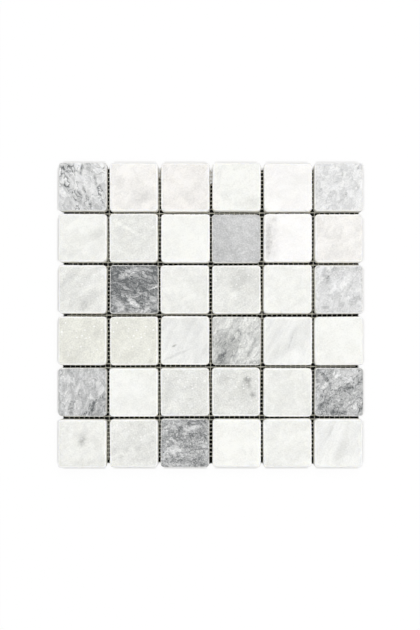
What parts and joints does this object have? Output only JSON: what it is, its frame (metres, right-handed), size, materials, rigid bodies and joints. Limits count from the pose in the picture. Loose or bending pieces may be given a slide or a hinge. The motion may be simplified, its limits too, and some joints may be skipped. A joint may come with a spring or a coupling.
{
  "type": "mosaic tile sheet",
  "caption": "Square sheet of tumbled marble tiles, white with scattered grey ones, set in a grid on a woven glass-fibre backing net.",
  "frame": {"origin": "centre of the sheet's outline, in the plane of the net's underside", "axes": "+Z out of the worn faces, +Y towards tile row 1, +X towards tile column 6"},
  "size_m": [0.3031, 0.3032, 0.0108],
  "materials": {
    "marble_white": "matte",
    "marble_grey": "matte",
    "marble_dark": "matte",
    "glass_fibre": "matte"
  },
  "bodies": {
    "root": {"tile_r1_c1": "marble_grey", "tile_r1_c2": "marble_white", "tile_r1_c3": "marble_white", "tile_r1_c4": "marble_white", "tile_r1_c5": "marble_white", "tile_r1_c6": "marble_grey", "tile_r2_c1": "marble_white", "tile_r2_c2": "marble_white", "tile_r2_c3": "marble_white", "tile_r2_c4": "marble_grey", "tile_r2_c5": "marble_white", "tile_r2_c6": "marble_white", "tile_r3_c1": "marble_white", "tile_r3_c2": "marble_dark", "tile_r3_c3": "marble_white", "tile_r3_c4": "marble_white", "tile_r3_c5": "marble_white", "tile_r3_c6": "marble_grey", "tile_r4_c1": "marble_white", "tile_r4_c2": "marble_white", "tile_r4_c3": "marble_white", "tile_r4_c4": "marble_grey", "tile_r4_c5": "marble_white", "tile_r4_c6": "marble_white", "tile_r5_c1": "marble_grey", "tile_r5_c2": "marble_white", "tile_r5_c3": "marble_white", "tile_r5_c4": "marble_white", "tile_r5_c5": "marble_white", "tile_r5_c6": "marble_grey", "tile_r6_c1": "marble_white", "tile_r6_c2": "marble_white", "tile_r6_c3": "marble_dark", "tile_r6_c4": "marble_white", "tile_r6_c5": "marble_white", "tile_r6_c6": "marble_white", "net_warp_yarns": "glass_fibre", "net_weft_yarns": "glass_fibre"}
  },
  "joints": []
}
